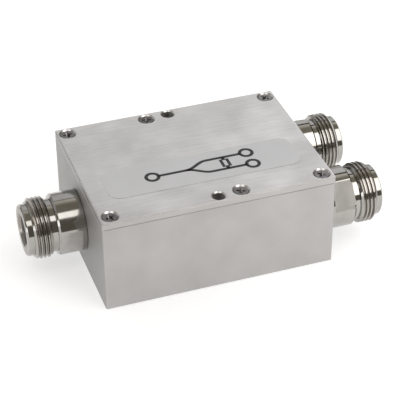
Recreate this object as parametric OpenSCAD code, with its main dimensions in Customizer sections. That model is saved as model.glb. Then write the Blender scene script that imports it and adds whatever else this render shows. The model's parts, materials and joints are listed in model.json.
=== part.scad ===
// Two-way radio-frequency power splitter in a milled aluminium housing.
// One coaxial jack on the -X end takes the signal in, and two on the +X end give it out.
// The frame stands on the underside of the housing: X runs from the input to the outputs,
// Y across the housing to its back, and Z up. All sizes are in millimetres.

/* [Housing] */
// Length of the housing between its two connector faces
housing_l = 61.2; // [58:0.1:75]
// Width of the housing
housing_w = 45; // [43:0.1:60]
// Height of the housing with its lid
housing_h = 26.2; // [25:0.1:34]
// Thickness of the end walls that carry the connectors
end_wall = 6; // [5:0.1:7]
// Thickness of the side walls that carry the screws
side_wall = 5.2; // [4.8:0.1:6]
// Radius of the upright outer edges
corner_r = 0.8; // [0.4:0.1:1.5]
// Radius that the cutter leaves in the corners of the pocket
pocket_r = 3; // [2:0.1:4]
// Chamfer that breaks the lower and upper outer edges
edge_break = 0.3; // [0.1:0.05:0.35]
// Chamfer on each side of the seam between housing and lid
seam_break = 0.15; // [0.05:0.05:0.3]

/* [Lid] */
// Thickness of the lid
lid_t = 1.8; // [1.6:0.1:2.5]

/* [Mounting holes] */
// Diameter of the two holes that go right through
mount_d = 3.2; // [2.8:0.1:3.3]
// Distance of the hole axes from the side faces
mount_inset = 2.3; // [2.25:0.05:2.6]
// Chamfer at both mouths of the holes
mount_chamfer = 0.3; // [0.1:0.05:0.35]

/* [Lid screws] */
// Thread diameter of the lid screws
lid_screw_d = 2; // [1.6:0.1:2.2]
// Length of the lid screws from the top of the head to the tip
lid_screw_l = 8; // [6:0.5:10]
// Diameter of the countersunk heads
lid_head_d = 3.8; // [3.4:0.1:4]
// Height of the straight rim round a head
lid_head_rim = 0.1; // [0.05:0.05:0.2]
// Depth of the heads below the face of the lid
lid_head_sink = 0.25; // [0.1:0.05:0.3]
// Distance of the screw axes from the outer faces
lid_screw_inset = 2.85; // [2.7:0.05:3]
// Distance of the two middle screws from the middle of the housing
lid_screw_mid = 6.1; // [5:0.1:12]

/* [Label] */
// Length of the label
label_l = 51; // [20:0.5:53]
// Width of the label
label_w = 12.6; // [8:0.1:14]
// Thickness of the label
label_t = 0.1; // [0.05:0.05:0.3]
// Corner radius of the label
label_r = 3.2; // [1:0.1:3.5]
// Distance of the label's middle in front of the lid's middle
label_front = 7.1; // [0:0.1:8]

/* [Connector shells] */
// Height of the connector axes above the underside
port_z = 12.8; // [12:0.1:14]
// Distance between the axes of the two outputs
output_pitch = 25.4; // [24:0.1:27]
// Diameter of the round base
base_d = 16; // [15.6:0.1:17]
// Length of the base
base_l = 7.2; // [7:0.1:9]
// Width across the two wrench flats
flats_af = 14; // [13:0.1:15]
// Length of the round rim between the housing and the flats
rear_rim_l = 1.2; // [0.8:0.1:3]
// Diameter of the neck behind the thread
neck_d = 13.8; // [13:0.1:13.9]
// Length of the neck
neck_l = 1.6; // [1:0.1:2]
// Outer diameter of the coupling thread
thread_d = 15.875; // [15:0.005:16]
// Length of the coupling thread
thread_l = 4.6; // [4:0.1:6]
// Diameter of the plain nose in front of the thread
nose_d = 13.5; // [12.5:0.1:14]
// Length of the nose
nose_l = 1.7; // [1.5:0.1:3]
// Diameter of the spigot that sits in the housing wall
spigot_d = 11; // [10.4:0.1:12]
// Diameter of the mating bore
bore_d = 8.1; // [7.8:0.05:8.6]
// Depth of the mating bore, from the front to its seat
bore_depth = 9.1; // [8.5:0.1:9.5]
// Diameter of the coaxial line behind the seat
line_d = 7; // [6.6:0.1:7.4]
// Chamfer of the base against the housing
rear_chamfer = 0.2; // [0.1:0.05:0.6]
// Chamfer at the front of the base, and at the spigot's end
base_chamfer = 0.45; // [0.15:0.05:0.5]
// Chamfer at the thread's end by the neck
thread_chamfer = 0.5; // [0.3:0.05:0.6]
// Longer chamfer at the thread's front, which leads a coupling nut on
thread_lead = 0.85; // [0.4:0.05:0.9]
// Chamfer at the front of the nose
nose_chamfer = 0.35; // [0.15:0.05:0.6]
// Lead-in chamfer at the mouth of the mating bore
mouth_chamfer = 0.6; // [0.3:0.05:0.9]
// Turn of the input's wrench flats, up from facing the front
input_turn = -15; // [-90:1:90]
// Turn of the front output's wrench flats, up from facing the front
output_1_turn = 35; // [-90:1:90]
// Turn of the back output's wrench flats, up from facing the front
output_2_turn = -57; // [-90:1:90]

/* [Insulators and contacts] */
// Diameter of the insulator's rear flange
bead_d = 8.4; // [8:0.1:9]
// Length of the thinner front part of the insulator
bead_front_l = 3; // [2:0.1:4]
// Distance of the insulator's face behind the seat of the mating bore
bead_back = 1; // [0.5:0.1:1.5]
// Outer diameter of the contact's socket
socket_d = 3.04; // [2.8:0.02:3.2]
// Inner diameter of the contact's socket
socket_bore_d = 1.65; // [1.5:0.05:1.8]
// Depth of the hole in the socket
socket_bore_l = 5; // [4:0.1:5.5]
// Distance of the socket's tip in front of the seat of the mating bore
socket_reach = 4.8; // [4.4:0.1:5.4]
// Width of the slots that part the socket into four tines
slot_w = 0.25; // [0.2:0.05:0.35]
// Length of the slots
slot_l = 4; // [3:0.1:4.5]
// Diameter of the contact's stem inside the insulator
stem_d = 2; // [1.6:0.1:2.4]
// Diameter of the solder pin over the board
pin_d = 1.3; // [1:0.1:1.5]
// Length of the solder pin past the inner face of the wall
pin_reach = 3; // [2:0.1:4]

/* [Circuit board] */
// Thickness of the board
board_t = 1.5; // [0.8:0.1:2]
// Gap between the board and the walls of the pocket
board_gap = 0.2; // [0.1:0.05:0.4]
// Thickness of the printed conductor
track_t = 0.1; // [0.05:0.05:0.15]
// Width of the input and output lines
line_w = 3; // [2:0.1:3.6]
// Length of the input line, from the board's edge to the split
input_run = 7.5; // [6:0.1:9]
// Number of line sections in each arm, each with its own resistor
sections = 4; // [2:1:4]
// Radius of the half-round loop of one section
loop_r = 3.8; // [3:0.1:4]
// Width of the arms in the first section
arm_w_first = 0.7; // [0.5:0.05:0.9]
// Width of the arms in the last section
arm_w_last = 1.6; // [1:0.05:1.8]
// Gap between the two arms where a resistor bridges them
arm_gap = 1.2; // [0.8:0.1:1.4]
// Length of the pads that the resistors stand on
pad_l = 1.1; // [0.8:0.1:1.3]
// Radius of the bend in the output lines
bend_r = 3; // [2:0.1:3.5]
// Gap between the conductor and the board's edges
track_edge = 0.3; // [0.2:0.05:0.6]

/* [Resistors] */
// Length of a chip resistor
chip_l = 2.4; // [2:0.1:3]
// Width of a chip resistor
chip_w = 1.25; // [0.8:0.05:1.5]
// Height of a chip resistor
chip_h = 0.55; // [0.4:0.05:0.7]
// Length of its end caps
chip_cap_l = 0.45; // [0.3:0.05:0.55]
// Thickness of its end caps
chip_cap_t = 0.05; // [0.03:0.01:0.08]

/* [Board screws] */
// Thread diameter of the board screws
board_screw_d = 2; // [1.6:0.1:2.2]
// Length of the thread below the head
board_screw_l = 6; // [4.5:0.5:8]
// Diameter of the board screws' heads
board_head_d = 3.8; // [3.4:0.1:4.2]
// Height of the board screws' heads
board_head_h = 1.3; // [1:0.1:1.6]
// Distance of the board screws from the board's edges
board_screw_inset = 2.8; // [2.4:0.1:3]
// Distance of the middle pair of board screws from the middle, towards the outputs
board_screw_mid = 4; // [0:0.1:6]

/* [Cross recesses] */
// Width of the cross recess in the screw heads
cross_w = 0.6; // [0.4:0.05:0.8]
// Depth of the cross recess in the screw heads
cross_depth = 0.8; // [0.5:0.05:0.9]

/* [Fits] */
// Radial gap of parts that sit in each other
fit_gap = 0.05; // [0.02:0.01:0.1]
// Radial gap of the screws in the lid and in the board
screw_gap = 0.2; // [0.1:0.05:0.25]
// Gap between a solder pin and its track
solder_gap = 0.05; // [0.02:0.01:0.1]
// Distance of a spigot's end behind the inner face of the wall
spigot_back = 0.2; // [0.1:0.05:0.4]
// Depth that the spigot holes are drilled past the inner face of the wall
drill_over = 0.3; // [0.1:0.05:0.5]
// Room left below the tip of a screw
tip_room = 1; // [0.5:0.1:2]

/* [Hidden] */
$fn = 48;
cut = 1;
body_h = housing_h - lid_t;
pocket_l = housing_l - 2 * end_wall;
pocket_w = housing_w - 2 * side_wall;
floor_z = port_z - pin_d / 2 - solder_gap - track_t - board_t;
track_z = floor_z + board_t;
board_l = pocket_l - 2 * board_gap;
board_w = pocket_w - 2 * board_gap;

// Stations along a connector's axis, measured outwards from the face of the housing
spigot_end = -(end_wall - spigot_back);
pin_end = -(end_wall + pin_reach);
thread_start = base_l + neck_l;
thread_end = thread_start + thread_l;
front_end = thread_end + nose_l;
seat = front_end - bore_depth;
bead_face = seat - bead_back;
bead_step = bead_face - bead_front_l;
socket_tip = seat + socket_reach;

// Each port: name, place, side of the housing, turn of the wrench flats
ports = [
    ["input", [-housing_l / 2, 0, port_z], -1, input_turn],
    ["output_1", [housing_l / 2, -output_pitch / 2, port_z], 1, output_1_turn],
    ["output_2", [housing_l / 2, output_pitch / 2, port_z], 1, output_2_turn]
];

// Screws stand at the four corners, and one more beside each mounting hole
corner_spot = [housing_l / 2 - lid_screw_inset, housing_w / 2 - lid_screw_inset];
lid_screw_spots = concat(
    [for (sx = [-1, 1], sy = [-1, 1]) [sx * corner_spot.x, sy * corner_spot.y]],
    [for (s = [-1, 1]) [-s * lid_screw_mid, s * corner_spot.y]]
);
mount_spots = [for (s = [-1, 1]) [0, s * (housing_w / 2 - mount_inset)]];

// The board screws stand clear of the conductor: two pairs, and one between the outputs
board_spot = [board_l / 2 - board_screw_inset, board_w / 2 - board_screw_inset];
board_screw_spots = concat(
    [for (x = [-board_spot.x, board_screw_mid], s = [-1, 1]) [x, s * board_spot.y]],
    [[board_spot.x, 0]]
);

// Layout of the printed conductor
split_x = -board_l / 2 + input_run;
function joint_x(k) = split_x + 2 * loop_r * k;
function arm_w(k) = arm_w_first + (arm_w_last - arm_w_first) * (k - 1) / max(sections - 1, 1);
arm_y = arm_gap / 2 + arm_w_last / 2;
output_x = joint_x(sections) + line_w / 2 - arm_w_last / 2;

// Heads of the lid screws
lid_head_r = lid_head_d / 2;
lid_shank_r = lid_screw_d / 2;
lid_head_h = lid_head_rim + lid_head_r - lid_shank_r;

// A block on z = 0, centred on X and Y, with rounded upright edges
module upright_block(size, r) {
    translate([-size.x / 2 + r, -size.y / 2, 0]) cube([size.x - 2 * r, size.y, size.z]);
    translate([-size.x / 2, -size.y / 2 + r, 0]) cube([size.x, size.y - 2 * r, size.z]);
    for (sx = [-1, 1], sy = [-1, 1])
        translate([sx * (size.x / 2 - r), sy * (size.y / 2 - r), 0]) cylinder(r = r, h = size.z);
}

// The upright section of a block whose lower and upper edges are broken
module broken_section(w, h, low, high) {
    polygon([
        [-w / 2 + low, 0], [w / 2 - low, 0], [w / 2, low], [w / 2, h - high],
        [w / 2 - high, h], [-w / 2 + high, h], [-w / 2, h - high], [-w / 2, low]
    ]);
}

// An upright block with chamfers round its lower and upper faces
module broken_block(size, r, low, high) {
    intersection() {
        upright_block(size, r);
        rotate([90, 0, 0]) linear_extrude(size.y + cut, center = true)
            broken_section(size.x, size.z, low, high);
        rotate([90, 0, 90]) linear_extrude(size.x + cut, center = true)
            broken_section(size.y, size.z, low, high);
    }
}

// Puts a piece drawn along +Z, from the face of the housing outwards, at its port
module at_port(p) {
    translate(p[1]) rotate([-p[3], 0, 0]) rotate([0, 90 * p[2], 0]) children();
}

// A straight hole along Z with a chamfer at its upper mouth, which lies at z = 0
module chamfered_hole(d, depth, chamfer) {
    translate([0, 0, -depth]) cylinder(d = d, h = depth + cut);
    translate([0, 0, -chamfer]) cylinder(d1 = d, d2 = d + 2 * (chamfer + cut), h = chamfer + cut);
}

// A cross recess cut down into a screw head whose top lies at z = 0
module cross_recess(span) {
    for (turn = [0, 90])
        rotate(turn) translate([-span / 2, -cross_w / 2, -cross_depth])
            cube([span, cross_w, cross_depth + cut]);
}

// Half of the section through a lid screw, with the top of its head at z = 0
module lid_screw_section() {
    polygon([
        [0, -lid_screw_l], [lid_shank_r, -lid_screw_l], [lid_shank_r, -lid_head_h],
        [lid_head_r, -lid_head_rim], [lid_head_r, 0], [0, 0]
    ]);
}

// Half of the section through the countersunk hole for it, cut up past the face of the lid
module countersink_section() {
    hole_r = lid_shank_r + screw_gap;
    cone_r = lid_shank_r + fit_gap;
    top = lid_head_sink + cut;
    polygon([
        [0, -lid_t - cut], [hole_r, -lid_t - cut], [hole_r, -lid_head_h + hole_r - cone_r],
        [cone_r + lid_head_h + top, top], [0, top]
    ]);
}

module housing() {
    color("silver") difference() {
        broken_block([housing_l, housing_w, body_h], corner_r, edge_break, seam_break);
        translate([0, 0, floor_z]) upright_block([pocket_l, pocket_w, body_h], pocket_r);
        for (p = ports)
            at_port(p) translate([0, 0, -end_wall - drill_over])
                cylinder(d = spigot_d + 2 * fit_gap, h = end_wall + drill_over + cut);
        for (spot = lid_screw_spots)
            translate([spot.x, spot.y, housing_h - lid_head_sink - lid_screw_l - tip_room])
                cylinder(d = lid_screw_d + 2 * fit_gap, h = lid_screw_l + tip_room);
        for (spot = mount_spots)
            translate([spot.x, spot.y, 0]) mirror([0, 0, 1])
                chamfered_hole(mount_d, housing_h, mount_chamfer);
        for (spot = board_screw_spots)
            translate([spot.x, spot.y, track_z - board_screw_l - tip_room])
                cylinder(d = board_screw_d + 2 * fit_gap, h = board_screw_l + tip_room);
    }
}

module lid() {
    color("gainsboro") difference() {
        translate([0, 0, body_h])
            broken_block([housing_l, housing_w, lid_t], corner_r, seam_break, edge_break);
        for (spot = lid_screw_spots)
            translate([spot.x, spot.y, housing_h - lid_head_sink])
                rotate_extrude() countersink_section();
        for (spot = mount_spots)
            translate([spot.x, spot.y, housing_h]) chamfered_hole(mount_d, lid_t + cut, mount_chamfer);
    }
}

module lid_screws() {
    color("gray") for (spot = lid_screw_spots)
        translate([spot.x, spot.y, housing_h - lid_head_sink]) difference() {
            rotate_extrude() lid_screw_section();
            cross_recess(lid_head_d / 2);
        }
}

module label() {
    color("lightgray") translate([0, -label_front, housing_h])
        upright_block([label_l, label_w, label_t], label_r);
}

module circuit_board() {
    color("darkgreen") translate([0, 0, floor_z]) difference() {
        upright_block([board_l, board_w, board_t], pocket_r - board_gap);
        for (spot = board_screw_spots)
            translate([spot.x, spot.y, -cut])
                cylinder(d = board_screw_d + 2 * screw_gap, h = board_t + 2 * cut);
    }
}

// A flat bar of the conductor between two corners of a rectangle
module track_bar(low, high) {
    translate([low.x, low.y, 0]) cube([high.x - low.x, high.y - low.y, track_t]);
}

// A flat arc of the conductor about the origin, from angle from over the angle sweep
module track_arc(r, w, from, sweep) {
    rotate(from) rotate_extrude(angle = sweep) translate([r - w / 2, 0]) square([w, track_t]);
}

// One arm of the divider, on the +Y side: its loops, its pads and its output line
module divider_arm() {
    for (k = [1:sections]) {
        translate([joint_x(k) - loop_r, arm_y, 0]) track_arc(loop_r, arm_w(k), 0, 180);
        translate([joint_x(k), arm_gap / 2, 0])
            track_bar([-arm_w_last / 2, 0], [arm_w_last / 2, pad_l]);
    }
    turn_y = output_pitch / 2 - bend_r;
    track_bar([output_x - line_w / 2, arm_gap / 2], [output_x + line_w / 2, turn_y]);
    translate([output_x + bend_r, turn_y, 0]) track_arc(bend_r, line_w, 90, 90);
    track_bar(
        [output_x + bend_r, output_pitch / 2 - line_w / 2],
        [board_l / 2 - track_edge, output_pitch / 2 + line_w / 2]
    );
}

module divider_track() {
    color("peru") translate([0, 0, track_z]) {
        track_bar([-board_l / 2 + track_edge, -line_w / 2], [split_x, line_w / 2]);
        track_bar([split_x - arm_w_last / 2, -arm_y], [split_x + arm_w_last / 2, arm_y]);
        divider_arm();
        mirror([0, 1, 0]) divider_arm();
    }
}

// A chip resistor that bridges the two arms at the end of section k
module isolation_resistor(k) {
    color("black") translate([joint_x(k), 0, track_z + track_t]) {
        translate([-chip_w / 2 + chip_cap_t, -chip_l / 2, chip_cap_t])
            cube([chip_w - 2 * chip_cap_t, chip_l, chip_h - 2 * chip_cap_t]);
        for (s = [-1, 1])
            translate([-chip_w / 2, s * (chip_l - chip_cap_l) / 2 - chip_cap_l / 2, 0])
                cube([chip_w, chip_cap_l, chip_h]);
    }
}

module board_screws() {
    color("gray") for (spot = board_screw_spots)
        translate([spot.x, spot.y, track_z]) difference() {
            union() {
                cylinder(d = board_head_d, h = board_head_h);
                translate([0, 0, -board_screw_l])
                    cylinder(d = board_screw_d, h = board_screw_l + board_head_h / 2);
            }
            translate([0, 0, board_head_h]) cross_recess(board_head_d / 2);
        }
}

// Half of the section through a connector's shell: the turned outside, then the stepped bore
module shell_section() {
    base_r = base_d / 2;
    thread_r = thread_d / 2;
    nose_r = nose_d / 2;
    spigot_r = spigot_d / 2;
    neck_r = neck_d / 2;
    polygon([
        [bead_d / 2, spigot_end], [spigot_r - base_chamfer, spigot_end],
        [spigot_r, spigot_end + base_chamfer], [spigot_r, 0],
        [base_r - rear_chamfer, 0], [base_r, rear_chamfer],
        [base_r, base_l - base_chamfer], [base_r - base_chamfer, base_l],
        [neck_r, base_l], [neck_r, thread_start],
        [thread_r - thread_chamfer, thread_start], [thread_r, thread_start + thread_chamfer],
        [thread_r, thread_end - thread_lead], [thread_r - thread_lead, thread_end],
        [nose_r, thread_end], [nose_r, front_end - nose_chamfer], [nose_r - nose_chamfer, front_end],
        [bore_d / 2 + mouth_chamfer, front_end], [bore_d / 2, front_end - mouth_chamfer],
        [bore_d / 2, seat], [line_d / 2, seat], [line_d / 2, bead_step], [bead_d / 2, bead_step]
    ]);
}

// A shell with two wrench flats, which run from the rear rim out over the front of the base
module shell(p) {
    flat_l = base_l + neck_l / 2 - rear_rim_l;
    color("tan") at_port(p) difference() {
        rotate_extrude() shell_section();
        for (turn = [0, 180])
            rotate(turn) translate([-base_d / 2, flats_af / 2, rear_rim_l])
                cube([base_d, base_d / 2, flat_l]);
    }
}

module insulator(p) {
    color("white") at_port(p) rotate_extrude() polygon([
        [stem_d / 2 + fit_gap, spigot_end], [bead_d / 2 - fit_gap, spigot_end],
        [bead_d / 2 - fit_gap, bead_step], [line_d / 2 - fit_gap, bead_step],
        [line_d / 2 - fit_gap, bead_face], [stem_d / 2 + fit_gap, bead_face]
    ]);
}

module contact(p) {
    socket_r = socket_d / 2;
    tip_break = (socket_d - socket_bore_d) / 8;
    color("gold") at_port(p) difference() {
        rotate_extrude() polygon([
            [0, pin_end], [pin_d / 2, pin_end], [pin_d / 2, spigot_end], [stem_d / 2, spigot_end],
            [stem_d / 2, bead_face], [socket_r, bead_face], [socket_r, socket_tip - tip_break],
            [socket_r - tip_break, socket_tip], [socket_bore_d / 2, socket_tip],
            [socket_bore_d / 2, socket_tip - socket_bore_l], [0, socket_tip - socket_bore_l]
        ]);
        for (turn = [0, 90])
            rotate(turn) translate([-socket_d, -slot_w / 2, socket_tip - slot_l])
                cube([2 * socket_d, slot_w, slot_l + cut]);
    }
}

housing();
lid();
lid_screws();
label();
circuit_board();
divider_track();
board_screws();
for (k = [1:sections]) {
    isolation_resistor(k);
}
for (p = ports) {
    shell(p);
    insulator(p);
    contact(p);
}
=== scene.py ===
# %% [markdown]
# # A two-way power splitter, from its solids to a studio picture
#
# The splitter is a milled aluminium box with three plated coaxial jacks. Its solids come from
# CAD as a fixed frame. This lesson adds what the solids leave out: cut threads, cross recesses,
# brushed metal and print. Everything is in metres, in the frame of the CAD model: X runs from
# the input to the outputs, Y to the back, Z up, and the box stands on Z = 0.

# %% Load the frame
import json
from math import cos, pi, radians, sin

import bmesh
import bpy
from mathutils import Matrix, Vector

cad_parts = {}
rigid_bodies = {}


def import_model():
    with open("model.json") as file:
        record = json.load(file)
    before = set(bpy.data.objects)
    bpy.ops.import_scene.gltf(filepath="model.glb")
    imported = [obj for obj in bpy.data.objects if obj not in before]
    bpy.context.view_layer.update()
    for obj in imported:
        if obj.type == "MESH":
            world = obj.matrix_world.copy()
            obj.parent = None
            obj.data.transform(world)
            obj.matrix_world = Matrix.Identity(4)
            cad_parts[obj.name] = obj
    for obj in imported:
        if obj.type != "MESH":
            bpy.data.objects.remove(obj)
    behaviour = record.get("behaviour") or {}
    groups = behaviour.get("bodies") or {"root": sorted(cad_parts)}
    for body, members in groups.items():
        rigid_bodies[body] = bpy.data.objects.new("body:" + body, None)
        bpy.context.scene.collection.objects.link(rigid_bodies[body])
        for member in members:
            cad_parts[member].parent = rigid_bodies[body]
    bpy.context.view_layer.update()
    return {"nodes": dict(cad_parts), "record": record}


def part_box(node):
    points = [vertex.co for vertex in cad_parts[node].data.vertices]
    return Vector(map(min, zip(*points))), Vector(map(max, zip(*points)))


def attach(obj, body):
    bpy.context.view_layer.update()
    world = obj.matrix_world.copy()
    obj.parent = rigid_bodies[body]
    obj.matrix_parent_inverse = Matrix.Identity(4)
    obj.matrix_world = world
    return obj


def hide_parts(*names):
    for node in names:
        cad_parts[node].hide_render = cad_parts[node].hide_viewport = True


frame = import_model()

MM = 0.001
scene = bpy.context.scene
nodes = frame["nodes"]
housing_low, housing_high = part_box("housing")
_, lid_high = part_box("lid")
lid_top = lid_high[2]
closed_size = [round((high - low) / MM, 2) for low, high in zip(housing_low, lid_high)]
print("nodes:", len(nodes), "housing with its lid, mm:", closed_size)

# %% [markdown]
# ## Camera
#
# The photograph was taken from the front left, looking down, with a long lens. A camera could be
# placed by eye, but here its angles and distance were fitted to the corners of the box, so that
# the render can be laid over the photograph. Turning about the aim keeps the numbers readable.

# %% Camera
CAMERA_AZIMUTH = radians(-19.04)
CAMERA_ELEVATION = radians(35.17)
CAMERA_ROLL = radians(-0.33)
CAMERA_DISTANCE = 392 * MM
CAMERA_AIM = Vector((2.05, 0, 11)) * MM
CAMERA_LENS, SENSOR_WIDTH = 134.1, 36

camera_data = bpy.data.cameras.new("camera")
camera_data.lens = CAMERA_LENS
camera_data.sensor_width = SENSOR_WIDTH
camera = bpy.data.objects.new("camera", camera_data)
scene.collection.objects.link(camera)
turn = (
    Matrix.Rotation(CAMERA_AZIMUTH, 4, "Z")
    @ Matrix.Rotation(pi / 2 - CAMERA_ELEVATION, 4, "X")
    @ Matrix.Rotation(CAMERA_ROLL, 4, "Z")
)
back_off = Matrix.Translation((0, 0, CAMERA_DISTANCE))
camera.matrix_world = Matrix.Translation(CAMERA_AIM) @ turn @ back_off
scene.camera = camera
print("camera, mm:", [round(c / MM, 1) for c in camera.matrix_world.translation])

# %% [markdown]
# ## Helpers for node trees
#
# Every finish below is a small node tree. It could be wired by hand, but adding and linking each
# node takes several lines. A few helpers keep the materials short enough to read.


# %% Node helpers
def add(tree, kind, settings=None, **inputs):
    """Adds a node, sets its properties, and fills or links its inputs by name (spaces as _)."""
    node = tree.nodes.new(kind)
    for key, value in (settings or {}).items():
        setattr(node, key, value)
    for key, value in inputs.items():
        feed(tree, node.inputs[key.replace("_", " ")], value)
    return node


def feed(tree, socket, value):
    """Links an output into a socket, or sets the socket to a plain value."""
    if isinstance(value, bpy.types.NodeSocket):
        tree.links.new(value, socket)
    else:
        socket.default_value = value


def calc(tree, operation, *values, clamp=False):
    """One Math node on those values, with its output returned."""
    node = add(tree, "ShaderNodeMath", {"operation": operation, "use_clamp": clamp})
    for socket, value in zip(node.inputs, values):
        feed(tree, socket, value)
    return node.outputs[0]


def ramp(tree, factor, *stops):
    """A Color Ramp through (position, colour) stops, with its colour output returned."""
    node = add(tree, "ShaderNodeValToRGB", Fac=factor)
    elements = node.color_ramp.elements
    while len(elements) < len(stops):
        elements.new(0.5)
    for element, (position, colour) in zip(elements, stops):
        element.position = position
        element.color = (*colour, 1)
    return node.outputs["Color"]


def between(tree, value, low, high):
    """Maps a value of 0 to 1 onto the range from low to high."""
    return add(tree, "ShaderNodeMapRange", Value=value, To_Min=low, To_Max=high).outputs[0]


def mix_colours(tree, factor, first, second):
    """Mixes two colours, from the first at 0 to the second at 1."""
    node = add(tree, "ShaderNodeMix", {"data_type": "RGBA"}, Factor=factor)
    feed(tree, node.inputs[6], first)
    feed(tree, node.inputs[7], second)
    return node.outputs[2]


print("node helpers ready")

# %% [markdown]
# ## Studio
#
# Plated metal shows what stands round it, so the light is built for its reflections. Separate
# lamps could do it, but a sky that changes with the angle over the table gives long, even bands
# along the jacks: a pale wall behind, a dim ceiling, and a dim room behind the camera and on both
# sides. Two bars are laid over the bands, a dark seam where wall and ceiling meet and a strip of
# light above the front. Both widen to the right, as the output jacks show more of them than the
# input. A panel at the left draws a white line along the chamfers that face it. It stands a little
# to the front, where the lid doesn't mirror it to someone who looks from the outputs' end. A soft
# lamp that metal doesn't mirror lights the floor, which also glows by itself, less at the left,
# because the front wall is darker there.


# %% Studio sky
# The angle over the table is 0 at the back, 90 overhead and 180 at the front.
SWEEP = 180
WALL_LOW, WALL_HIGH = (0.58, 0.57, 0.56), (0.98, 0.98, 1.0)
CEILING_HIGH, CEILING, ROOM = (0.92, 0.87, 0.79), (0.34, 0.315, 0.25), (0.165, 0.15, 0.125)
BANDS = [
    (0, WALL_LOW), (10, WALL_LOW), (26, WALL_HIGH), (50, WALL_HIGH), (58, CEILING_HIGH),
    (64, CEILING_HIGH), (77, CEILING), (110, CEILING), (125, ROOM), (180, ROOM),
]
# How much of the bands is seen in each direction, from -1 at the left to 1 at the right. The dips
# on both sides of what the input jack mirrors keep the left of the lid from getting too bright.
SIDES = [
    (-0.85, 0.4), (-0.4, 0.6), (0.04, 0.08), (0.12, 0.76), (0.2, 0.76), (0.24, 0.35), (0.3, 1.0),
    (0.5, 1.0), (0.58, 0.22), (0.85, 0.0),
]
# A bar's colour, its middle and its half width at the left and at the right, and its soft edge
STRIP = (3.0, 2.94, 2.84), (119, 127.5), (10.5, 28.5), 4
SEAM = (0.04, 0.036, 0.032), (54, 54.5), (1.2, 3.6), 2
# The directions that the input and the outputs mirror, between which a bar changes
BAR_FROM, BAR_TO = 0.18, 0.34
# The panel's colour, and where it fades in: towards the left, and towards the front
PANEL, PANEL_LEFT, PANEL_FRONT = (2.4, 2.4, 2.4), (-0.86, -0.92), (-0.06, -0.12)

world = bpy.data.worlds.new("studio")
scene.world = world
world.use_nodes = True
sky = world.node_tree
direction = add(sky, "ShaderNodeTexCoord").outputs["Generated"]
toward = add(sky, "ShaderNodeSeparateXYZ", Vector=direction).outputs
over = calc(sky, "DIVIDE", calc(sky, "ARCTAN2", toward["Z"], toward["Y"]), pi, clamp=True)
lit = ramp(sky, over, *((angle / SWEEP, colour) for angle, colour in BANDS))
for colour, middles, halves, edge in (STRIP, SEAM):
    middle, half = (
        add(sky, "ShaderNodeMapRange", Value=toward["X"], From_Min=BAR_FROM, From_Max=BAR_TO,
            To_Min=left / SWEEP, To_Max=right / SWEEP).outputs[0]
        for left, right in (middles, halves)
    )
    away = calc(sky, "ABSOLUTE", calc(sky, "SUBTRACT", over, middle))
    depth = calc(sky, "SUBTRACT", half, away)
    in_bar = calc(sky, "MULTIPLY_ADD", depth, SWEEP / edge, 0.5, clamp=True)
    lit = mix_colours(sky, in_bar, lit, (*colour, 1))
aside = calc(sky, "MULTIPLY_ADD", toward["X"], 0.5, 0.5)
share = ramp(sky, aside, *((0.5 + x / 2, (amount,) * 3) for x, amount in SIDES))
seen = mix_colours(sky, share, (*ROOM, 1), lit)
in_panel = calc(sky, "MULTIPLY", *(
    add(sky, "ShaderNodeMapRange", Value=toward[axis], From_Min=start, From_Max=end).outputs[0]
    for axis, (start, end) in (("X", PANEL_LEFT), ("Y", PANEL_FRONT))
))
seen = mix_colours(sky, in_panel, seen, (*PANEL, 1))
feed(sky, sky.nodes["Background"].inputs["Color"], seen)
print("sky:", len(BANDS), "band stops,", len(SIDES), "side stops,", len(sky.nodes), "nodes")

# %% Lamp
LAMP_PLACE, LAMP_SIZE, LAMP_POWER = Vector((0.1, 0.05, 1.0)), 2.0, 10.5
lamp_data = bpy.data.lights.new("soft_lamp", "AREA")
lamp_data.size = LAMP_SIZE
lamp_data.energy = LAMP_POWER
lamp = bpy.data.objects.new("soft_lamp", lamp_data)
lamp_turn = LAMP_PLACE.to_track_quat("Z", "Y").to_matrix().to_4x4()
lamp.matrix_world = Matrix.Translation(LAMP_PLACE) @ lamp_turn
lamp.visible_glossy = False
scene.collection.objects.link(lamp)
print("lamp, W:", lamp_data.energy, "at, m:", [round(c, 2) for c in LAMP_PLACE])

# %% Floor
FLOOR_REACH, FLOOR_DROP = 3, 0.05 * MM
PAPER_GREY, PAPER_ROUGHNESS, PAPER_GLOW = (0.5, 0.5, 0.5), 0.9, 0.72
# The share of the glow at the left, and where it starts to grow and is whole
LEFT_GLOW, GLOW_FROM, GLOW_TO = (0.78, 0.78, 0.78), -10 * MM, 60 * MM

bm = bmesh.new()
bmesh.ops.create_grid(bm, x_segments=1, y_segments=1, size=FLOOR_REACH)
bmesh.ops.translate(bm, verts=bm.verts, vec=(0, 0, -FLOOR_DROP))
floor_mesh = bpy.data.meshes.new("floor")
bm.to_mesh(floor_mesh)
bm.free()
floor = bpy.data.objects.new("floor", floor_mesh)
scene.collection.objects.link(floor)
paper = bpy.data.materials.new("lit_paper")
paper.use_nodes = True
sheet = paper.node_tree
paper_bsdf = sheet.nodes["Principled BSDF"]
paper_bsdf.inputs["Base Color"].default_value = (*PAPER_GREY, 1)
paper_bsdf.inputs["Roughness"].default_value = PAPER_ROUGHNESS
paper_bsdf.inputs["Emission Strength"].default_value = PAPER_GLOW
paper_place = add(sheet, "ShaderNodeTexCoord").outputs["Object"]
paper_x = add(sheet, "ShaderNodeSeparateXYZ", Vector=paper_place).outputs["X"]
to_right = add(sheet, "ShaderNodeMapRange", Value=paper_x, From_Min=GLOW_FROM, From_Max=GLOW_TO)
glow = ramp(sheet, to_right.outputs[0], (0.0, LEFT_GLOW), (1.0, (1, 1, 1)))
feed(sheet, paper_bsdf.inputs["Emission Color"], glow)
floor_mesh.materials.append(paper)
scene.view_settings.view_transform = "Standard"
print("floor reaches, m:", round(max(v.co.x for v in floor_mesh.vertices), 2))

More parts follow.
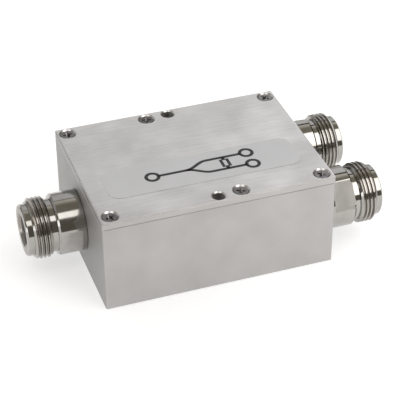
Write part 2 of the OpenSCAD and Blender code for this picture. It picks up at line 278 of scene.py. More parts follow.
# %% [markdown]
# ## Shared surface effects
#
# Three effects turn up on several finishes: the drawn-out lines of brushed metal, the fine rings
# that a lathe leaves, and the faint cloudy marks of handling. Each is a node group, built once,
# with its scale as an input. A group gives only values. The shader stays in each material.


# %% Group: brushed lines
VECTOR, FLOAT = "NodeSocketVector", "NodeSocketFloat"


def new_group(name, inputs, outputs):
    """An empty node group with the named sockets, and its two end nodes."""
    tree = bpy.data.node_groups.new(name, "ShaderNodeTree")
    for socket_name, kind in inputs.items():
        tree.interface.new_socket(name=socket_name, in_out="INPUT", socket_type=kind)
    for socket_name in outputs:
        tree.interface.new_socket(name=socket_name, in_out="OUTPUT", socket_type=FLOAT)
    return tree, tree.nodes.new("NodeGroupInput"), tree.nodes.new("NodeGroupOutput")


brushed, source, result = new_group(
    "brushed_lines",
    {"Vector": VECTOR, "Along": FLOAT, "Across": FLOAT},
    ("Lines", "Scratches", "Clouds"),
)
scale = add(brushed, "ShaderNodeCombineXYZ", X=source.outputs["Along"],
            Y=source.outputs["Across"], Z=source.outputs["Across"])
drawn = add(brushed, "ShaderNodeVectorMath", {"operation": "MULTIPLY"})
feed(brushed, drawn.inputs[0], source.outputs["Vector"])
feed(brushed, drawn.inputs[1], scale.outputs[0])
fine = add(brushed, "ShaderNodeTexNoise", Vector=drawn.outputs[0], Scale=1.0,
           Detail=4.0, Roughness=0.7)
feed(brushed, result.inputs["Lines"], fine.outputs[0])
sparse = add(brushed, "ShaderNodeTexNoise", Vector=drawn.outputs[0], Scale=0.55, Detail=1.0)
# Only the peaks of this noise count as scratches
deep = add(brushed, "ShaderNodeMapRange", Value=sparse.outputs[0], From_Min=0.62, From_Max=0.74)
feed(brushed, result.inputs["Scratches"], deep.outputs[0])
wide = add(brushed, "ShaderNodeTexNoise", Vector=source.outputs["Vector"], Scale=90.0, Detail=3.0)
feed(brushed, result.inputs["Clouds"], wide.outputs[0])
print("group:", brushed.name, len(brushed.nodes), "nodes")

# %% Group: lathe rings
rings, source, result = new_group("lathe_rings", {"Vector": VECTOR, "Rings": FLOAT}, ("Ring",))
axis = add(rings, "ShaderNodeSeparateXYZ", Vector=source.outputs["Vector"])
along = calc(rings, "MULTIPLY", axis.outputs["X"], source.outputs["Rings"])
cut_lines = add(rings, "ShaderNodeTexNoise", {"noise_dimensions": "1D"},
                W=along, Scale=1.0, Detail=2.0)
feed(rings, result.inputs["Ring"], cut_lines.outputs[0])
print("group:", rings.name, len(rings.nodes), "nodes")

# %% Group: handling marks
marks, source, result = new_group("handling_marks", {"Vector": VECTOR, "Scale": FLOAT}, ("Mark",))
blur = add(marks, "ShaderNodeTexNoise", Vector=source.outputs["Vector"],
           Scale=source.outputs["Scale"], Detail=5.0, Roughness=0.62, Distortion=0.6)
soft = add(marks, "ShaderNodeMapRange", Value=blur.outputs[0], From_Min=0.4, From_Max=0.72)
feed(marks, result.inputs["Mark"], soft.outputs[0])
print("group:", marks.name, len(marks.nodes), "nodes")

# %% [markdown]
# ## Brushed aluminium
#
# The lid was brushed along its length and the long walls more faintly. A picture of brushed metal
# could be laid on, but lines drawn out from noise have no seams and keep their true width. Masks
# from the surface normal and the place leave the end walls plain and paint light and shade into
# the colour. The walls and the lid's sides get a darker tone than the lid's top, and the end walls
# a darker one still, as painted shade. The long edges get a dull tone as painted shade, which
# hides their highlight and darkens the seam. The holes and short edges get a bright tone as
# painted light. Lines vary the colour and the roughness a little, and a bump gives them their
# glitter.


# %% Material helpers
def new_material(name, metallic, roughness):
    """A material with its tree, its Principled BSDF and its Object coordinates."""
    material = bpy.data.materials.new(name)
    material.use_nodes = True
    tree = material.node_tree
    bsdf = tree.nodes["Principled BSDF"]
    bsdf.inputs["Metallic"].default_value = metallic
    bsdf.inputs["Roughness"].default_value = roughness
    return material, tree, bsdf, add(tree, "ShaderNodeTexCoord").outputs["Object"]


def use_group(tree, group, **inputs):
    """Places a node group in a material, with its inputs filled."""
    return add(tree, "ShaderNodeGroup", {"node_tree": group}, **inputs).outputs


def bump(tree, bsdf, height, depth):
    """Feeds a Bump node of that real depth into the shader's Normal."""
    node = add(tree, "ShaderNodeBump", Height=height, Distance=depth, Strength=1.0)
    feed(tree, bsdf.inputs["Normal"], node.outputs[0])


print("material helpers ready")

# %% Masks for edges and ends
# The least Z in the normal of a level and of a leaning face, the least X in that of an end, and
# the share of the box's half width at which its outer edges start
LEVEL, LEANING, FACES_END, EDGE_STARTS = 0.98, 0.3, 0.8, 0.98


def beyond(tree, value, limit):
    """A mask that is 1 where the size of a value is over the limit."""
    return calc(tree, "GREATER_THAN", calc(tree, "ABSOLUTE", value), limit)


def edge_masks(tree, facing, place):
    """Three masks: the long edges, for painted shade, the holes and short edges, for painted light,
    and all that leans.
    """
    spot = add(tree, "ShaderNodeSeparateXYZ", Vector=place).outputs
    level = beyond(tree, facing["Z"], LEVEL)
    leaning = calc(tree, "SUBTRACT", beyond(tree, facing["Z"], LEANING), level)
    at_long = beyond(tree, spot["Y"], EDGE_STARTS * housing_high[1])
    at_short = beyond(tree, spot["X"], EDGE_STARTS * housing_high[0])
    outside = calc(tree, "MAXIMUM", at_long, calc(tree, "SUBTRACT", at_short, leaning, clamp=True))
    painted_light_mask = calc(tree, "SUBTRACT", calc(tree, "SUBTRACT", 1.0, level), outside, clamp=True)
    return calc(tree, "MULTIPLY", leaning, at_long), painted_light_mask, leaning


print("edges start, mm:", [round(EDGE_STARTS * half / MM, 2) for half in housing_high[:2]])

# %% Brushed aluminium
LID_TONES = (0.646, 0.641, 0.635), (0.96, 0.955, 0.947)
# Painted shade: the walls and the lid's sides get a darker tone than the lid's top
SHADED_WALL_TONES = (0.444, 0.434, 0.427), (0.512, 0.5, 0.492)
# Painted shade: the end walls' flat tone is darker still. Painted light: the hole walls' bright
# tone
SHADED_END_TONE, PAINTED_LIGHT_HOLE_WALL = (0.42, 0.414, 0.407), (0.93, 0.925, 0.92)
# Painted highlight: the short edges' bright tone. Painted shade: the long edges' dull tone, which
# hides their highlight and darkens the seam between lid and housing
PAINTED_HIGHLIGHT_EDGE, PAINTED_SHADE_EDGE = (0.72, 0.715, 0.71), (0.35, 0.345, 0.338)
LINE_LENGTH, LINE_WIDTH, SCRATCH_DEPTH = 8 * MM, 0.4 * MM, 0.5
# Where the mixed noise gives the dark and the light tone
AT_DARK, AT_LIGHT = 0.3, 0.7
# What lines, marks, ends and bright edges add to the roughness
LINE_ADDS, MARK_ADDS, END_ADDS, EDGE_ADDS = (-0.05, 0.07), 0.06, 0.2, -0.1


def brushed_aluminium(name, top_tones, side_tones, roughness, line_share, depth):
    """Aluminium brushed along X on its top and sides, and plain on its ends."""
    material, tree, bsdf, place = new_material(name, 1.0, roughness)
    brush = use_group(tree, brushed, Vector=place, Along=1 / LINE_LENGTH, Across=1 / LINE_WIDTH)
    handled = use_group(tree, marks, Vector=place, Scale=70.0)["Mark"]
    facing = add(tree, "ShaderNodeNewGeometry").outputs["True Normal"]
    facing = add(tree, "ShaderNodeSeparateXYZ", Vector=facing).outputs
    is_top = calc(tree, "GREATER_THAN", facing["Z"], LEVEL)
    is_end = beyond(tree, facing["X"], FACES_END)
    painted_shade_mask, painted_light_mask, leaning = edge_masks(tree, facing, place)
    lines = calc(tree, "MULTIPLY", brush["Lines"], calc(tree, "SUBTRACT", 1.0, is_end))
    tone = calc(tree, "ADD", calc(tree, "MULTIPLY", lines, line_share),
                calc(tree, "MULTIPLY", brush["Clouds"], 1 - line_share))
    top, side = (
        ramp(tree, tone, (AT_DARK, dark), (AT_LIGHT, light))
        for dark, light in (top_tones, side_tones)
    )
    colour = mix_colours(tree, is_top, mix_colours(tree, is_end, side, (*SHADED_END_TONE, 1)), top)
    # Painted light on the hole walls, and painted highlight on the short edges and countersinks
    bright = mix_colours(tree, leaning, (*PAINTED_LIGHT_HOLE_WALL, 1), (*PAINTED_HIGHLIGHT_EDGE, 1))
    colour = mix_colours(tree, painted_light_mask, colour, bright)
    feed(tree, bsdf.inputs["Base Color"], mix_colours(tree, painted_shade_mask, colour, (*PAINTED_SHADE_EDGE, 1)))
    rough = between(tree, lines, *(roughness + change for change in LINE_ADDS))
    for mask, change in ((handled, MARK_ADDS), (is_end, END_ADDS), (painted_light_mask, EDGE_ADDS)):
        rough = calc(tree, "MULTIPLY_ADD", mask, change, rough)
    feed(tree, bsdf.inputs["Roughness"], rough)
    height = calc(tree, "MULTIPLY_ADD", brush["Scratches"], -SCRATCH_DEPTH, lines)
    bump(tree, bsdf, height, depth)
    return material


lid_metal = brushed_aluminium(
    "brushed_lid", LID_TONES, SHADED_WALL_TONES, roughness=0.34, line_share=0.45, depth=0.008 * MM
)
wall_metal = brushed_aluminium(
    "brushed_walls", SHADED_WALL_TONES, SHADED_WALL_TONES, roughness=0.42, line_share=0.2, depth=0.003 * MM
)
print("aluminium:", lid_metal.name, wall_metal.name)

# %% [markdown]
# ## Plated and turned finishes
#
# The jacks are nickel plated over brass and polished, so they need little colour and a low
# roughness. The lathe's rings and some handling marks keep the bands of light from looking
# drawn. Their thread grooves are rougher and get a darker tone as painted shade. The front faces
# get the same darker, rougher finish, and the wrench flats keep the satin of the milling cutter.
# The bores get a lighter tone than the outside as painted light, which keeps them from going
# black. The contacts are gold plated, the insulators turned from white plastic, and the screws
# polished steel whose recesses get a lighter tone than the heads as painted light, which softens
# their shade. One function makes them all, since only their values differ.


# %% Turned finishes
# Each finish: its dark and light tone, its metallic, its roughness, and the depth and the number
# per mm of its rings
TURNED = {
    "nickel_plating": ((0.34, 0.33, 0.312), (0.42, 0.41, 0.39), 1.0, 0.08, 0.002 * MM, 9),
    # Painted shade: the grooves' tone is darker than the nickel's, and the front faces get it too
    "thread_grooves_painted_shade": ((0.25, 0.23, 0.21), (0.36, 0.335, 0.31), 1.0, 0.22, 0.003 * MM, 9),
    # Painted light: the bores' tone is lighter than the outer nickel's
    "bore_plating_painted_light": ((0.52, 0.515, 0.505), (0.64, 0.635, 0.625), 1.0, 0.34, 0.003 * MM, 9),
    "milled_flats": ((0.457, 0.445, 0.43), (0.55, 0.538, 0.52), 1.0, 0.5, 0.004 * MM, 9),
    "gold_plating": ((0.82, 0.55, 0.2), (0.98, 0.75, 0.36), 1.0, 0.18, 0.002 * MM, 9),
    "turned_plastic": ((0.82, 0.82, 0.8), (0.93, 0.93, 0.92), 0.0, 0.38, 0.004 * MM, 9),
    "polished_steel": ((0.14, 0.136, 0.132), (0.25, 0.245, 0.24), 1.0, 0.12, 0.003 * MM, 5),
    # Painted light: the recesses' tone is lighter than the heads'
    "recess_steel_painted_light": ((0.2, 0.197, 0.193), (0.32, 0.315, 0.31), 1.0, 0.26, 0.003 * MM, 5),
}
# How far rings and marks change the roughness, as shares of it, and where they turn the tint
RING_GLOSS, RING_DULL, MARK_DULL = 0.8, 1.2, 0.5
TINT_LIGHT, TINT_DARK = 0.1, 0.75


def turned_finish(name, dark, light, metallic, roughness, ring_depth, rings_per_mm):
    """A finish cut on a lathe whose axis lies along X: fine rings, marks and a slight tint."""
    material, tree, bsdf, place = new_material(name, metallic, roughness)
    ring = use_group(tree, rings, Vector=place, Rings=rings_per_mm / MM)["Ring"]
    handled = use_group(tree, marks, Vector=place, Scale=140.0)["Mark"]
    tone = calc(tree, "MULTIPLY", calc(tree, "ADD", ring, handled), 0.5)
    tint = ramp(tree, tone, (TINT_LIGHT, light), (TINT_DARK, dark))
    feed(tree, bsdf.inputs["Base Color"], tint)
    rough = between(tree, ring, roughness * RING_GLOSS, roughness * RING_DULL)
    rough = calc(tree, "MULTIPLY_ADD", handled, roughness * MARK_DULL, rough)
    feed(tree, bsdf.inputs["Roughness"], rough)
    bump(tree, bsdf, ring, ring_depth)
    return material


nickel, groove, bore, flat, gold, white_plastic, steel, recess_steel_painted_light = (
    turned_finish(name, *values) for name, values in TURNED.items()
)
print("turned finishes:", *TURNED)

# %% [markdown]
# ## Jack shells
#
# A shell is turned in steps: base with two wrench flats, neck, thread, nose, and a stepped bore.
# The CAD solid leaves its thread plain. The outline could be cut with booleans, but spinning its
# section about the axis gives clean rings, and spinning one thread tooth while it climbs gives a
# true helix. The flat rings between the two are then filled, which closes the skin.

# %% Sizes of a jack
# Distances run outwards from the face of the housing, as in the solids.
BASE_R, BASE_L, FLATS, REAR_RIM = 8 * MM, 7.2 * MM, 14 * MM, 1.2 * MM
NECK_R, NECK_L = 6.9 * MM, 1.6 * MM
THREAD_R, THREAD_L, PITCH = 15.875 / 2 * MM, 4.6 * MM, 25.4 / 24 * MM
TOOTH_H, ROOT_W, CREST_W = 0.5 * PITCH, 0.2 * PITCH, 0.24 * PITCH
NOSE_R, NOSE_L = 6.75 * MM, 1.7 * MM
SPIGOT_R, SPIGOT_END = 5.5 * MM, -5.8 * MM
BORE_R, BORE_DEPTH, LINE_R = 4.05 * MM, 9.1 * MM, 3.5 * MM
BEAD_R, BEAD_BACK, BEAD_FRONT_L = 4.2 * MM, 1 * MM, 3 * MM
REAR_CHAMFER, BASE_CHAMFER = 0.2 * MM, 0.45 * MM
NOSE_CHAMFER, MOUTH_CHAMFER = 0.35 * MM, 0.6 * MM
THREAD_CHAMFER, THREAD_LEAD = 0.5 * MM, 0.85 * MM
STEPS = 112

THREAD_START = BASE_L + NECK_L
THREAD_END = THREAD_START + THREAD_L
FRONT = THREAD_END + NOSE_L
SEAT = FRONT - BORE_DEPTH
BEAD_STEP = SEAT - BEAD_BACK - BEAD_FRONT_L
print("jack length, mm:", round(FRONT / MM, 2), "crests:", round(THREAD_L / PITCH, 2))


# %% Turned body of a shell
def spin_section(bm, section, turns=1, climb=0.0):
    """Spins an open section of (radius, height) points about Z, climbing that far per turn."""
    verts = [bm.verts.new((r, 0, z)) for r, z in section]
    edges = [bm.edges.new(pair) for pair in zip(verts, verts[1:])]
    bmesh.ops.spin(
        bm, geom=verts + edges, cent=(0, 0, 0), axis=(0, 0, 1), angle=2 * pi * turns,
        steps=STEPS * turns, dvec=(0, 0, climb / STEPS), use_merge=not climb,
    )


def shell_body():
    """The turned shell without its thread, open at the neck and at the nose."""
    # A narrow ring in front of the rear rim, which lets the flats end there in a step
    lip = 0.02 * MM
    bm = bmesh.new()
    spin_section(bm, [
        (NECK_R, THREAD_START), (NECK_R, BASE_L),
        (BASE_R - BASE_CHAMFER, BASE_L), (BASE_R, BASE_L - BASE_CHAMFER),
        (BASE_R, REAR_RIM + lip), (BASE_R, REAR_RIM),
        (BASE_R, REAR_CHAMFER), (BASE_R - REAR_CHAMFER, 0), (SPIGOT_R, 0),
        (SPIGOT_R, SPIGOT_END + BASE_CHAMFER), (SPIGOT_R - BASE_CHAMFER, SPIGOT_END),
        (BEAD_R, SPIGOT_END), (BEAD_R, BEAD_STEP), (LINE_R, BEAD_STEP),
        (LINE_R, SEAT), (BORE_R, SEAT),
        (BORE_R, FRONT - MOUTH_CHAMFER), (BORE_R + MOUTH_CHAMFER, FRONT),
        (NOSE_R - NOSE_CHAMFER, FRONT), (NOSE_R, FRONT - NOSE_CHAMFER), (NOSE_R, THREAD_END),
    ])
    for vert in bm.verts:
        if REAR_RIM + lip / 2 < vert.co.z < BASE_L + lip / 2 and vert.co.xy.length > NECK_R + lip:
            vert.co.y = max(-FLATS / 2, min(FLATS / 2, vert.co.y))
    return bm


body = shell_body()
print("turned body:", len(body.faces), "faces")
body.free()


# %% Thread
def move_into(bm, other):
    """Adds all of another bmesh to this one, and frees the other."""
    mesh = bpy.data.meshes.new("moved")
    other.to_mesh(mesh)
    other.free()
    bm.from_mesh(mesh)
    bpy.data.meshes.remove(mesh)


def thread_limit(z):
    """The greatest radius of the thread at that height, as both of its ends are chamfered."""
    past_start, before_end = max(z - THREAD_START, 0), max(THREAD_END - z, 0)
    return THREAD_R - max(THREAD_CHAMFER - past_start, THREAD_LEAD - before_end, 0)


def thread_teeth(bm, shift):
    """Adds a helical thread from neck to nose, with its crests moved by a share of the pitch."""
    root_r, weld, spare_turns = THREAD_R - TOOTH_H, 0.002 * MM, 3
    start = THREAD_START + (shift - 1) * PITCH
    turns = int(THREAD_L / PITCH) + spare_turns
    tooth = bmesh.new()
    spin_section(tooth, [
        (root_r, start - PITCH / 2), (root_r, start - PITCH / 2 + ROOT_W / 2),
        (THREAD_R, start - CREST_W / 2), (THREAD_R, start + CREST_W / 2),
        (root_r, start + PITCH / 2 - ROOT_W / 2), (root_r, start + PITCH / 2),
    ], turns, PITCH)
    bmesh.ops.remove_doubles(tooth, verts=tooth.verts, dist=weld)
    for end, way in ((THREAD_START, -1), (THREAD_END, 1)):
        bmesh.ops.bisect_plane(
            tooth, geom=tooth.verts[:] + tooth.edges[:] + tooth.faces[:], dist=1e-8,
            plane_co=(0, 0, end), plane_no=(0, 0, way), clear_outer=True,
        )
    for vert in tooth.verts:
        limit = thread_limit(vert.co.z)
        if vert.co.xy.length > limit:
            vert.co.xy = vert.co.xy.normalized() * limit
    move_into(bm, tooth)


def close_gaps(bm):
    """Fills the flat rings between body and thread, at the neck and at the nose."""
    near = 0.005 * MM
    for height in (THREAD_START, THREAD_END):
        open_edges = [
            edge for edge in bm.edges
            if edge.is_boundary and all(abs(v.co.z - height) < near for v in edge.verts)
        ]
        bmesh.ops.triangle_fill(bm, edges=open_edges, use_beauty=True, normal=(0, 0, 1))


end_radii = [round(thread_limit(z) / MM, 2) for z in (THREAD_START, THREAD_END)]
print("thread radius, mm:", round(THREAD_R / MM, 2), "at its ends:", end_radii)


# %% Finish of a piece, and of each face of a shell
def finish_piece(bm, name, matrix, finishes, sharp=35):
    """Turns a bmesh into a finished piece with its place in its mesh, riding on the frame."""
    bmesh.ops.transform(bm, matrix=matrix, verts=bm.verts)
    bmesh.ops.recalc_face_normals(bm, faces=bm.faces)
    mesh = bpy.data.meshes.new(name)
    bm.to_mesh(mesh)
    bm.free()
    mesh.shade_smooth()
    mesh.set_sharp_from_angle(angle=radians(sharp))
    for finish in finishes:
        mesh.materials.append(finish)
    piece = bpy.data.objects.new(name, mesh)
    scene.collection.objects.link(piece)
    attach(piece, "root")
    return piece


SHELL_FINISHES = nickel, groove, flat, bore
NICKEL, GROOVE_SHADE, FLAT, PAINTED_LIGHT_BORE = range(len(SHELL_FINISHES))


def shell_finish(centre):
    """Which of the shell's finishes a face gets, from its middle. Its front is dull as a groove."""
    near = 0.05 * MM
    height, radius = centre.z, centre.xy.length
    # The bore's lighter finish is painted light
    if height > SEAT - near and radius < BORE_R + near:
        return PAINTED_LIGHT_BORE
    in_front = height > FRONT - MOUTH_CHAMFER and radius < NOSE_R - NOSE_CHAMFER
    in_thread = THREAD_START < height < THREAD_END
    # Thread flanks and roots get the darker finish as painted shade, and the front faces get it too
    if in_front or (in_thread and NECK_R < radius < thread_limit(height) - near):
        return GROOVE_SHADE
    on_flat = abs(abs(centre.y) - FLATS / 2) < near and height < BASE_L
    return FLAT if on_flat else NICKEL


print("shell finishes:", [finish.name for finish in SHELL_FINISHES])

# %% The three shells
JACK_Z, OUTPUT_PITCH = 12.8 * MM, 25.4 * MM
# Each jack: place across the box, side of the box, turn of its flats up from the front, and how
# far its crests are moved outwards, as a share of the pitch
JACKS = {
    "input": (0, -1, radians(-15), 0.15),
    "output_1": (-OUTPUT_PITCH / 2, 1, radians(35), -0.46),
    "output_2": (OUTPUT_PITCH / 2, 1, radians(-57), 0.22),
}
for jack, (across, side, flat_turn, crest_shift) in JACKS.items():
    bm = shell_body()
    thread_teeth(bm, crest_shift)
    close_gaps(bm)
    face_x = housing_high[0] if side > 0 else housing_low[0]
    place = (
        Matrix.Translation((face_x, across, JACK_Z))
        @ Matrix.Rotation(-flat_turn, 4, "X")
        @ Matrix.Rotation(side * pi / 2, 4, "Y")
    )
    open_left = sum(edge.is_boundary for edge in bm.edges)
    for face in bm.faces:
        face.material_index = shell_finish(face.calc_center_median())
    shell = finish_piece(bm, f"{jack}_threaded_shell", place, SHELL_FINISHES)
    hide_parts(f"{jack}_shell")
    print(shell.name, len(shell.data.polygons), "faces, open edges:", open_left)

# %% [markdown]
# ## Lid screws
#
# Six small countersunk screws hold the lid. Their cross recess catches the light, so it has to be
# cut for real. A boolean would do, but a cross that is pushed down and drawn in gives the tapered
# recess of a driver with few faces, and the flat of the head is then filled between the cross and
# the rim. Each is turned its own way.


# %% One lid screw
HEAD_R, HEAD_RIM, HEAD_EDGE = 1.9 * MM, 0.1 * MM, 0.09 * MM
SHANK_R, SCREW_L = 1 * MM, 8 * MM
CROSS_SPAN, CROSS_W, CROSS_CORNER = 2.5 * MM, 0.75 * MM, 0.14 * MM
CROSS_DEPTH, CROSS_TAPER = 0.8 * MM, 0.5
RECESS_FINISH = 1


def cross_outline(bm):
    """A flat cross with rounded corners at Z = 0, as one face."""
    near, far = CROSS_W / 2, CROSS_SPAN / 2
    corner = [(far, -near), (far, near), (near, near)]
    verts = []
    for quarter in range(4):
        spin = Matrix.Rotation(quarter * pi / 2, 2)
        verts += [bm.verts.new((*(spin @ Vector(point)), 0)) for point in corner]
    face = bm.faces.new(verts)
    bmesh.ops.bevel(
        bm, geom=face.verts[:], affect="VERTICES", offset=CROSS_CORNER, segments=2,
        profile=0.5, material=-1,
    )
    return bm.faces[:][-1]


def lid_screw():
    """One countersunk screw, its head's top at Z = 0."""
    weld = 0.001 * MM
    bm = bmesh.new()
    cross = cross_outline(bm)
    cross_edges = cross.edges[:]
    spin_section(bm, [
        (HEAD_R - HEAD_EDGE, 0), (HEAD_R, -HEAD_EDGE), (HEAD_R, -HEAD_RIM),
        (SHANK_R, -HEAD_RIM - HEAD_R + SHANK_R), (SHANK_R, -SCREW_L + SHANK_R / 2),
        (SHANK_R / 2, -SCREW_L), (0, -SCREW_L),
    ])
    bmesh.ops.remove_doubles(bm, verts=bm.verts, dist=weld)
    rim = [e for e in bm.edges if e.is_boundary and e not in cross_edges]
    recess = bmesh.ops.extrude_discrete_faces(bm, faces=[cross])["faces"][0]
    top_edges = [e for e in bm.edges if e.is_boundary and e not in rim]
    bmesh.ops.translate(bm, verts=recess.verts, vec=(0, 0, -CROSS_DEPTH))
    bmesh.ops.scale(bm, verts=recess.verts, vec=(CROSS_TAPER, CROSS_TAPER, 1))
    # The recess gets the lighter steel, as painted light that softens its shade
    for face in {face for vert in recess.verts for face in vert.link_faces}:
        face.material_index = RECESS_FINISH
    bmesh.ops.triangle_fill(bm, edges=rim + top_edges, use_beauty=True, normal=(0, 0, 1))
    return bm


trial = lid_screw()
print("one screw:", len(trial.faces), "faces")
trial.free()

# %% All lid screws
HEAD_SINK, SCREW_INSET, MID_SCREW = 0.25 * MM, 2.85 * MM, 6.1 * MM
corner_x, corner_y = lid_high[0] - SCREW_INSET, lid_high[1] - SCREW_INSET
# Each screw: its place on the lid, and the degrees that it is turned
SCREW_SPOTS = [
    (-corner_x, -corner_y, 20), (corner_x, -corner_y, 52), (-corner_x, corner_y, 8),
    (corner_x, corner_y, 35), (MID_SCREW, -corner_y, 64), (-MID_SCREW, corner_y, 77),
]
all_screws = bmesh.new()
for x, y, degrees in SCREW_SPOTS:
    one = lid_screw()
    driven = Matrix.Rotation(radians(degrees), 4, "Z")
    spot = Matrix.Translation((x, y, lid_top - HEAD_SINK)) @ driven
    bmesh.ops.transform(one, matrix=spot, verts=one.verts)
    move_into(all_screws, one)
open_left = sum(edge.is_boundary for edge in all_screws.edges)
screws = finish_piece(
    all_screws, "cross_recess_screws", Matrix(), (steel, recess_steel_painted_light)
)
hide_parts("lid_screws")
print(screws.name, len(screws.data.polygons), "faces, open edges:", open_left)

# %% [markdown]
# ## Label
#
# The label is a satin metallised film with rounded corners. Film is smooth, so its finish is
# plain with a soft gloss. It carries a simple sign of what the box does: one port that forks into
# two, with a resistor across the arms. A picture could be laid on the film, but strokes of ink
# built as thin bodies stay sharp and export as geometry.


# %% Label finishes
FILM_LIGHT, FILM_DARK = (0.525, 0.528, 0.541), (0.499, 0.502, 0.515)
INK_DARK, INK_LIGHT = (0.012, 0.012, 0.014), (0.03, 0.03, 0.032)


def film_finish():
    """Satin silver film, slightly cool."""
    material, tree, bsdf, place = new_material("satin_film", metallic=0.3, roughness=0.4)
    handled = use_group(tree, marks, Vector=place, Scale=60.0)["Mark"]
    tone = ramp(tree, handled, (0.0, FILM_LIGHT), (1.0, FILM_DARK))
    feed(tree, bsdf.inputs["Base Color"], tone)
    feed(tree, bsdf.inputs["Roughness"], between(tree, handled, 0.36, 0.44))
    return material


def ink_finish():
    """Dark screen ink, slightly uneven."""
    material, tree, bsdf, place = new_material("label_ink", metallic=0.0, roughness=0.5)
    grain = add(tree, "ShaderNodeTexNoise", Vector=place, Scale=3000.0, Detail=2.0).outputs[0]
    tone = ramp(tree, grain, (0.3, INK_DARK), (0.8, INK_LIGHT))
    feed(tree, bsdf.inputs["Base Color"], tone)
    feed(tree, bsdf.inputs["Roughness"], between(tree, grain, 0.42, 0.58))
    return material


film, ink = film_finish(), ink_finish()
print("label finishes:", film.name, ink.name)

# %% Label film
label_low, label_high = (Vector(corner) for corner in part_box("label"))
LABEL_R, FILM_EDGE, INK_T = 3.2 * MM, 0.03 * MM, 0.02 * MM
film_top = label_high.z - INK_T


def label_film():
    """The film: a plate with rounded corners and a softened upper edge."""
    bm = bmesh.new()
    corners = [(label_low.x, label_low.y), (label_high.x, label_low.y),
               (label_high.x, label_high.y), (label_low.x, label_high.y)]
    face = bm.faces.new([bm.verts.new((*corner, label_low.z)) for corner in corners])
    bmesh.ops.bevel(
        bm, geom=face.verts[:], affect="VERTICES", offset=LABEL_R, segments=10,
        profile=0.5, material=-1,
    )
    lifted = bmesh.ops.extrude_face_region(bm, geom=bm.faces[:], use_keep_orig=True)["geom"]
    bmesh.ops.translate(
        bm, verts=[v for v in lifted if isinstance(v, bmesh.types.BMVert)],
        vec=(0, 0, film_top - label_low.z),
    )
    upper = [e for e in bm.edges if all(v.co.z > (label_low.z + film_top) / 2 for v in e.verts)]
    bmesh.ops.bevel(
        bm, geom=upper, affect="EDGES", offset=FILM_EDGE, segments=2, profile=0.5, material=-1,
    )
    return bm


label = label_film()
print("film:", len(label.faces), "faces, mm:", [round(c / MM, 2) for c in label_high - label_low])


# %% Strokes of ink
INK_W, PORT_R, RING_POINTS = 0.9 * MM, 1.6 * MM, 32
INK_FINISH = 1


def stroke(bm, points, closed=False):
    """A thin body of ink along those points, measured from the middle of the film."""
    middle = (label_low + label_high) / 2
    points = [Vector(point) + middle.xy for point in points]
    ends = (points[-1:], points[:1]) if closed else (points[:1], points[-1:])
    chain = ends[0] + points + ends[1]
    rims = []
    for before, point, after in zip(chain, points, chain[2:]):
        along = (after - before).normalized()
        reach = Vector((-along.y, along.x)) * INK_W / 2
        rims.append([bm.verts.new((*(point + side * reach), film_top)) for side in (1, -1)])
    faces = [
        bm.faces.new((left, right, next_right, next_left))
        for (left, right), (next_left, next_right) in zip(rims, rims[1:] + rims[:closed])
    ]
    lifted = bmesh.ops.extrude_face_region(bm, geom=faces, use_keep_orig=True)["geom"]
    raised = [v for v in lifted if isinstance(v, bmesh.types.BMVert)]
    bmesh.ops.translate(bm, verts=raised, vec=(0, 0, INK_T))
    for vert in raised:
        for face in vert.link_faces:
            face.material_index = INK_FINISH


def port(bm, x, y):
    """A ring of ink that stands for a jack."""
    turns = [2 * pi * i / RING_POINTS for i in range(RING_POINTS)]
    stroke(bm, [(x + PORT_R * cos(turn), y + PORT_R * sin(turn)) for turn in turns], closed=True)


trial = bmesh.new()
port(trial, 0, 0)
print("one ring of ink:", len(trial.faces), "faces")
trial.free()

# %% Label print
PORT_X, ARM_Y, FORK_FROM, FORK_TO, FORK_STEPS = 13 * MM, 2.6 * MM, -4 * MM, 2 * MM, 12
RESISTOR_X, RESISTOR_W, RESISTOR_L = 6.5 * MM, 1.7 * MM, 3 * MM

port(label, -PORT_X, 0)
stroke(label, [(PORT_R - PORT_X, 0), (FORK_FROM, 0)])
for side in (1, -1):
    steps = [i / FORK_STEPS for i in range(FORK_STEPS + 1)]
    fork = [
        (FORK_FROM + (FORK_TO - FORK_FROM) * u, side * ARM_Y * (1 - cos(pi * u)) / 2)
        for u in steps
    ]
    stroke(label, fork + [(PORT_X - PORT_R, side * ARM_Y)])
    port(label, PORT_X, side * ARM_Y)
    stroke(label, [(RESISTOR_X, side * ARM_Y), (RESISTOR_X, side * RESISTOR_L / 2)])
box_x, box_y = RESISTOR_W / 2, RESISTOR_L / 2
stroke(label, [
    (RESISTOR_X - box_x, -box_y), (RESISTOR_X + box_x, -box_y),
    (RESISTOR_X + box_x, box_y), (RESISTOR_X - box_x, box_y),
], closed=True)
printed = finish_piece(label, "printed_label", Matrix(), (film, ink), sharp=15)
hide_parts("label")
print(printed.name, len(printed.data.polygons), "faces")

# %% [markdown]
# ## Inside the box
#
# The lid hides the board, but a reader may lift it, so the laminate, the copper and the chip
# resistors get their own finishes. The resistors' tinned end caps could be pieces of their own,
# but each chip lies across the middle of the box, so a mask on the distance from there tells the
# caps from the dark bodies.


# %% Board finishes
def laminate_finish():
    """Pale microwave laminate with a faint glass weave."""
    material, tree, bsdf, place = new_material("woven_laminate", metallic=0.0, roughness=0.55)
    weave = add(tree, "ShaderNodeTexBrick", Vector=place, Scale=900.0)
    grain = add(tree, "ShaderNodeTexNoise", Vector=place, Scale=1800.0, Detail=3.0).outputs[0]
    tone = calc(tree, "ADD", calc(tree, "MULTIPLY", weave.outputs["Fac"], 0.25), grain)
    colour = ramp(tree, tone, (0.3, (0.7, 0.66, 0.54)), (0.8, (0.82, 0.78, 0.67)))
    feed(tree, bsdf.inputs["Base Color"], colour)
    bump(tree, bsdf, tone, 0.004 * MM)
    return material


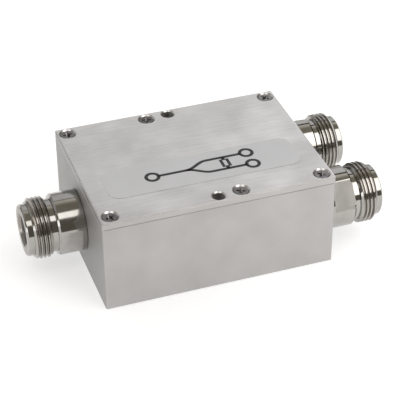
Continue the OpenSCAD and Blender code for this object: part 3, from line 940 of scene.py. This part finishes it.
def copper_finish():
    """Etched copper with a light tarnish."""
    material, tree, bsdf, place = new_material("etched_copper", metallic=1.0, roughness=0.32)
    handled = use_group(tree, marks, Vector=place, Scale=220.0)["Mark"]
    colour = ramp(tree, handled, (0.0, (0.9, 0.52, 0.33)), (1.0, (0.68, 0.36, 0.22)))
    feed(tree, bsdf.inputs["Base Color"], colour)
    feed(tree, bsdf.inputs["Roughness"], between(tree, handled, 0.26, 0.42))
    return material


def resistor_finish():
    """Dark ceramic between two tinned caps."""
    cap_starts, tinned = 0.75 * MM, (0.72, 0.71, 0.69, 1)
    material, tree, bsdf, place = new_material("chip_resistor", metallic=0.0, roughness=0.5)
    across = add(tree, "ShaderNodeSeparateXYZ", Vector=place).outputs["Y"]
    is_cap = beyond(tree, across, cap_starts)
    grain = add(tree, "ShaderNodeTexNoise", Vector=place, Scale=4000.0, Detail=2.0).outputs[0]
    body_tone = ramp(tree, grain, (0.3, (0.015, 0.015, 0.017)), (0.7, (0.04, 0.04, 0.043)))
    feed(tree, bsdf.inputs["Base Color"], mix_colours(tree, is_cap, body_tone, tinned))
    feed(tree, bsdf.inputs["Metallic"], is_cap)
    feed(tree, bsdf.inputs["Roughness"], between(tree, grain, 0.32, 0.5))
    return material


laminate, copper, resistor = laminate_finish(), copper_finish(), resistor_finish()
print("board finishes:", laminate.name, copper.name, resistor.name)

# %% [markdown]
# ## Finishes on the solids
#
# Solids whose shape is already right could be modelled again, but that would add nothing, so they
# stay as they are and only get their finish. A table from the record's material slots to the
# materials made above says which goes where.

# %% Put the finishes on
FINISHES = {
    "milled_aluminium": wall_metal,
    "brushed_aluminium": lid_metal,
    "screw_steel": steel,
    "label_film": film,
    "board_laminate": laminate,
    "track_copper": copper,
    "resistor_body": resistor,
    "plated_shell": nickel,
    "white_insulator": white_plastic,
    "gold_contact": gold,
}
for part in frame["record"]["subparts"]:
    solid = nodes[part["node"]]
    solid.data.materials.clear()
    solid.data.materials.append(FINISHES[part["material_slot"]])
